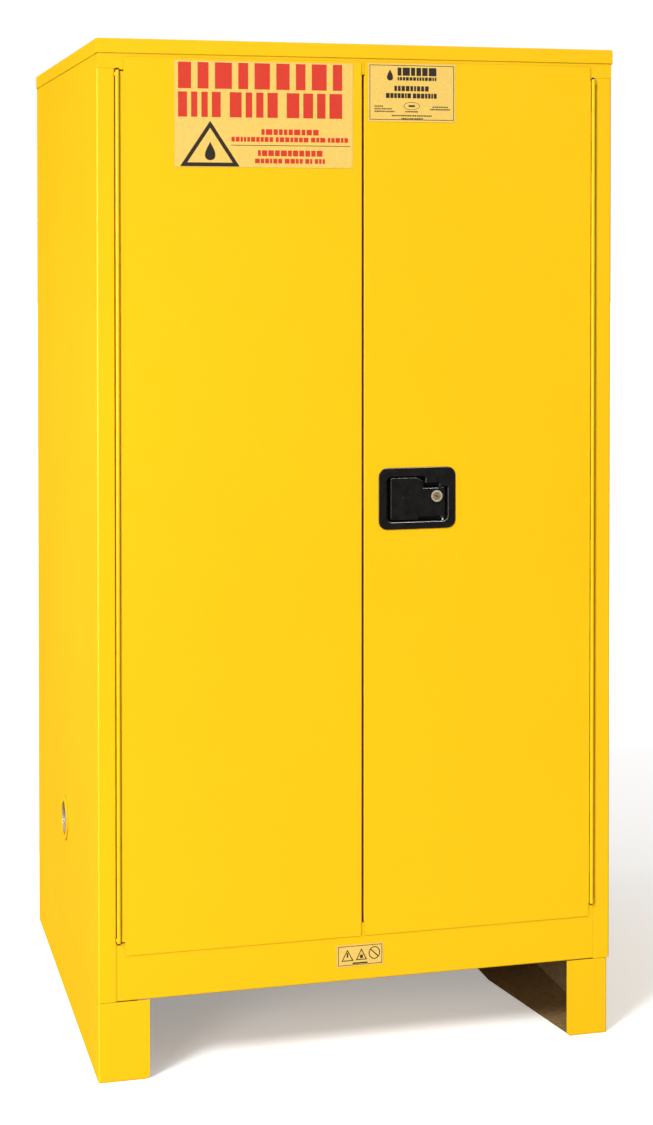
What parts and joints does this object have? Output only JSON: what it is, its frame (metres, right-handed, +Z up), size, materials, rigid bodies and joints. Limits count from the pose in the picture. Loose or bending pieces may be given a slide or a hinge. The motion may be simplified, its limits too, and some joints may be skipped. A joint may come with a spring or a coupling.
{
  "type": "flammable storage cabinet",
  "caption": "Tall two-door double-wall safety cabinet on legs for flammable liquids, with recessed paddle latch, lift-out shelves, sump and side vents",
  "frame": {"origin": "centre of the footprint, on the floor", "axes": "+Z up, doors face -Y, +X to the right of someone facing the doors"},
  "size_m": [0.8666, 0.8636, 1.651],
  "materials": {
    "yellow_paint": "safety yellow powder coat, satin with a slight orange peel",
    "galvanised_steel": "galvanised sheet with a fine spangle",
    "zinc_plated_steel": "zinc-plated steel",
    "black_cast": "black powder coat on a die casting",
    "nickel_plate": "nickel plate, warm tint",
    "brass": "brass lock core",
    "stainless_steel": "stainless flame arrester",
    "cream_label": "printed vinyl sticker"
  },
  "bodies": {
    "cabinet": {"back_panel": "yellow_paint", "bottom_panel": "yellow_paint", "flame_arrester_left": "stainless_steel", "flame_arrester_right": "stainless_steel", "ground_stud": "zinc_plated_steel", "header_rail": "yellow_paint", "hinge_leaf_frame_left": "yellow_paint", "hinge_leaf_frame_right": "yellow_paint", "hinge_pin_left": "zinc_plated_steel", "hinge_pin_right": "zinc_plated_steel", "leg_left": "yellow_paint", "leg_right": "yellow_paint", "liner_back": "yellow_paint", "liner_left": "yellow_paint", "liner_right": "yellow_paint", "liner_top": "yellow_paint", "shelf_bracket_lower_left": "galvanised_steel", "shelf_bracket_lower_right": "galvanised_steel", "shelf_bracket_upper_left": "galvanised_steel", "shelf_bracket_upper_right": "galvanised_steel", "shelf_standard_front_left": "galvanised_steel", "shelf_standard_front_right": "galvanised_steel", "shelf_standard_rear_left": "galvanised_steel", "shelf_standard_rear_right": "galvanised_steel", "side_panel_left": "yellow_paint", "side_panel_right": "yellow_paint", "sill_label": "cream_label", "sill_rail": "yellow_paint", "strike_lower": "zinc_plated_steel", "strike_upper": "zinc_plated_steel", "sump_pan": "yellow_paint", "top_cap": "yellow_paint", "vent_bung_left": "yellow_paint", "vent_bung_right": "yellow_paint"},
    "door_left": {"door_skin_left": "yellow_paint", "door_liner_left": "yellow_paint", "hinge_leaf_door_left": "yellow_paint", "warning_label": "cream_label"},
    "door_right": {"door_skin_right": "yellow_paint", "door_liner_right": "yellow_paint", "hinge_leaf_door_right": "yellow_paint", "data_label": "cream_label", "latch_pan": "black_cast", "cam_bolt": "zinc_plated_steel", "cam_spring": "zinc_plated_steel"},
    "paddle": {"paddle_handle": "black_cast", "paddle_pin_lower": "zinc_plated_steel", "paddle_pin_upper": "zinc_plated_steel", "lock_barrel": "nickel_plate"},
    "lock_core": {"lock_plug": "brass", "lock_tongue": "zinc_plated_steel"},
    "latch_cam": {"latch_cam": "zinc_plated_steel"},
    "latch_rod_upper": {"latch_rod_upper": "zinc_plated_steel"},
    "latch_rod_lower": {"latch_rod_lower": "zinc_plated_steel"},
    "centre_bolt": {"centre_bolt": "zinc_plated_steel"},
    "slide_bolt_upper": {"slide_bolt_upper": "zinc_plated_steel"},
    "slide_bolt_lower": {"slide_bolt_lower": "zinc_plated_steel"},
    "shelf_lower": {"shelf_lower": "galvanised_steel"},
    "shelf_upper": {"shelf_upper": "galvanised_steel"}
  },
  "joints": [
    {"name": "door_left_hinge", "type": "hinge", "parent": "cabinet", "child": "door_left", "pos_m": [-0.3977, -0.4286, 0.911], "axis": [0, 0, -1], "range_deg": [0, 170]},
    {"name": "door_right_hinge", "type": "hinge", "parent": "cabinet", "child": "door_right", "pos_m": [0.3977, -0.4286, 0.911], "axis": [0, 0, 1], "range_deg": [0, 170]},
    {"name": "paddle_pull", "type": "hinge", "parent": "door_right", "child": "paddle", "pos_m": [0.1381, -0.4223, 0.905], "axis": [0, 0, 1], "range_deg": [0, 35], "stiffness_Nm_per_rad": 0.6, "springref_deg": -17.19},
    {"name": "lock_turn", "type": "hinge", "parent": "paddle", "child": "lock_core", "pos_m": [0.1262, -0.4278, 0.9148], "axis": [0, -1, 0], "range_deg": [0, 90]},
    {"name": "latch_cam_turn", "type": "hinge", "parent": "door_right", "child": "latch_cam", "pos_m": [0.1265, -0.4078, 0.8745], "axis": [0, -1, 0], "range_deg": [0, 44]},
    {"name": "latch_rod_upper_travel", "type": "slide", "parent": "door_right", "child": "latch_rod_upper", "axis": [0, 0, -1], "range_m": [0, 0.0126]},
    {"name": "latch_rod_lower_travel", "type": "slide", "parent": "door_right", "child": "latch_rod_lower", "axis": [0, 0, 1], "range_m": [0, 0.0126]},
    {"name": "centre_bolt_travel", "type": "slide", "parent": "door_right", "child": "centre_bolt", "axis": [1, 0, 0], "range_m": [0, 0.0126]},
    {"name": "slide_bolt_upper_travel", "type": "slide", "parent": "door_left", "child": "slide_bolt_upper", "axis": [0, 0, -1], "range_m": [0, 0.014]},
    {"name": "slide_bolt_lower_travel", "type": "slide", "parent": "door_left", "child": "slide_bolt_lower", "axis": [0, 0, 1], "range_m": [0, 0.014]},
    {"name": "shelf_lower_lift", "type": "slide", "parent": "cabinet", "child": "shelf_lower", "axis": [0, 0, 1], "range_m": [0, 0.06]},
    {"name": "shelf_upper_lift", "type": "slide", "parent": "cabinet", "child": "shelf_upper", "axis": [0, 0, 1], "range_m": [0, 0.06]}
  ],
  "couplings": [
    {"joint": "latch_cam_turn", "follows": "paddle_pull", "ratio": 1.25},
    {"joint": "latch_rod_upper_travel", "follows": "paddle_pull", "m_per_rad": 0.020376},
    {"joint": "latch_rod_lower_travel", "follows": "paddle_pull", "m_per_rad": 0.020376},
    {"joint": "centre_bolt_travel", "follows": "paddle_pull", "m_per_rad": 0.020376}
  ]
}
